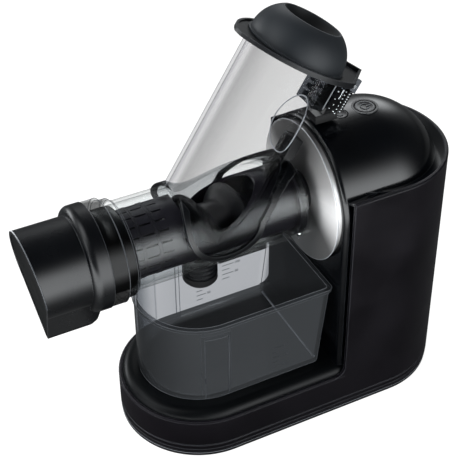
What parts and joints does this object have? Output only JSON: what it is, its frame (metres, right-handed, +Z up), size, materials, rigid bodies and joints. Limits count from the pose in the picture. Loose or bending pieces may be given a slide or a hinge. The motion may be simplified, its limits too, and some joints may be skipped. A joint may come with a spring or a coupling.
{
  "type": "cold press juicer",
  "caption": "Horizontal slow juicer: racetrack base with a domed drive tower, smoked drum with leaning clear feed tube, pulp cap and clear juice jug.",
  "frame": {"origin": "on the floor, below the middle of the overall length and width", "axes": "+X from the pulp cap to the drive tower, +Z up, Y = 0 is the plane of symmetry"},
  "size_m": [0.358, 0.136, 0.3563],
  "materials": {
    "casing_matte": "fine matt",
    "cover_gloss": "polished",
    "black_satin": "satin",
    "spun_metal": "spun",
    "chrome": "polished",
    "steel": "ground",
    "inner_plastic": "moulded",
    "gear_plastic": "moulded",
    "rotor": "laminated",
    "board": "lacquered",
    "rubber": "matt",
    "seal_rubber": "matt",
    "smoked_clear": "smoked transparent",
    "clear": "transparent",
    "strainer_dark": "moulded",
    "auger_dark": "satin",
    "grip_silver": "silvery",
    "jug_clear": "transparent, slightly smoked"
  },
  "bodies": {
    "base": {"outer_casing": "casing_matte", "tower_cover": "cover_gloss", "front_panel": "cover_gloss", "deck": "cover_gloss", "base_plate": "inner_plastic", "rubber_feet": "rubber", "base_screws": "steel", "trim_disc": "spun_metal", "locking_stud": "chrome", "bearing_boss": "inner_plastic", "front_bearing": "steel", "rear_bearing": "steel", "gear_plate_front": "steel", "gear_plate_rear": "steel", "gear_pillars": "steel", "motor_can": "steel", "switch_board": "board", "button_bezel": "black_satin", "cord_gland": "rubber"},
    "motor": {"motor_rotor": "rotor", "motor_pinion": "steel", "cooling_fan": "inner_plastic"},
    "idler": {"idler_gear": "gear_plastic"},
    "output": {"output_gear": "gear_plastic", "drive_shaft": "steel"},
    "juicing_unit": {"drum": "smoked_clear", "drum_hub": "black_satin", "shaft_seal": "seal_rubber", "strainer": "strainer_dark", "spout_sleeve": "black_satin", "drip_nozzle": "rubber", "drum_rail": "black_satin", "feed_tube": "clear", "drum_saddle": "clear", "saddle_seal": "black_satin", "tube_spine": "black_satin", "hopper_tray": "black_satin", "latch_housing": "smoked_clear", "lever_pin": "steel"},
    "locking_clip": {"lock_lever": "black_satin", "lever_grip": "grip_silver"},
    "auger": {"auger": "auger_dark", "auger_coupling": "steel", "auger_pivot": "steel"},
    "pulp_cap": {"end_cap": "black_satin", "cap_end_plate": "cover_gloss", "cap_seal": "seal_rubber"},
    "pusher": {"pusher": "black_satin"},
    "jug": {"juice_jug": "jug_clear"},
    "power_button": {"power_button": "black_satin"},
    "reverse_button": {"reverse_button": "black_satin"}
  },
  "joints": [
    {"name": "motor_spin", "type": "hinge", "parent": "base", "child": "motor", "pos_m": [0.12, 0, 0.101], "axis": [1, 0, 0], "continuous": true},
    {"name": "idler_spin", "type": "hinge", "parent": "base", "child": "idler", "pos_m": [0.085, 0, 0.1385], "axis": [1, 0, 0], "continuous": true},
    {"name": "output_spin", "type": "hinge", "parent": "base", "child": "output", "pos_m": [0.075, 0, 0.191], "axis": [1, 0, 0], "continuous": true},
    {"name": "unit_off", "type": "slide", "parent": "base", "child": "juicing_unit", "axis": [-1, 0, 0], "range_m": [0, 0.025]},
    {"name": "auger_spin", "type": "hinge", "parent": "juicing_unit", "child": "auger", "pos_m": [-0.045, 0, 0.191], "axis": [1, 0, 0], "continuous": true},
    {"name": "cap_turn", "type": "hinge", "parent": "juicing_unit", "child": "pulp_cap", "pos_m": [-0.135, 0, 0.191], "axis": [1, 0, 0], "range_deg": [0, 30]},
    {"name": "pusher_lift", "type": "slide", "parent": "juicing_unit", "child": "pusher", "axis": [0.5299, 0, 0.848], "range_m": [0, 0.04]},
    {"name": "clip_press", "type": "hinge", "parent": "juicing_unit", "child": "locking_clip", "pos_m": [0.09209, 0, 0.28274], "axis": [0, 1, 0], "range_deg": [0, 7], "stiffness_Nm_per_rad": 0.4, "springref_deg": -5.73},
    {"name": "jug_out", "type": "slide", "parent": "base", "child": "jug", "axis": [0, -1, 0], "range_m": [0, 0.15]},
    {"name": "power_press", "type": "slide", "parent": "base", "child": "power_button", "axis": [0, 0, -1], "range_m": [0, 0.002], "stiffness_N_per_m": 400, "springref_m": -0.001},
    {"name": "reverse_press", "type": "slide", "parent": "base", "child": "reverse_button", "axis": [0, 0, -1], "range_m": [0, 0.002], "stiffness_N_per_m": 400, "springref_m": -0.001}
  ],
  "couplings": [
    {"joint": "idler_spin", "follows": "motor_spin", "ratio": -0.25},
    {"joint": "output_spin", "follows": "motor_spin", "ratio": 0.0625},
    {"joint": "auger_spin", "follows": "motor_spin", "ratio": 0.0625}
  ]
}
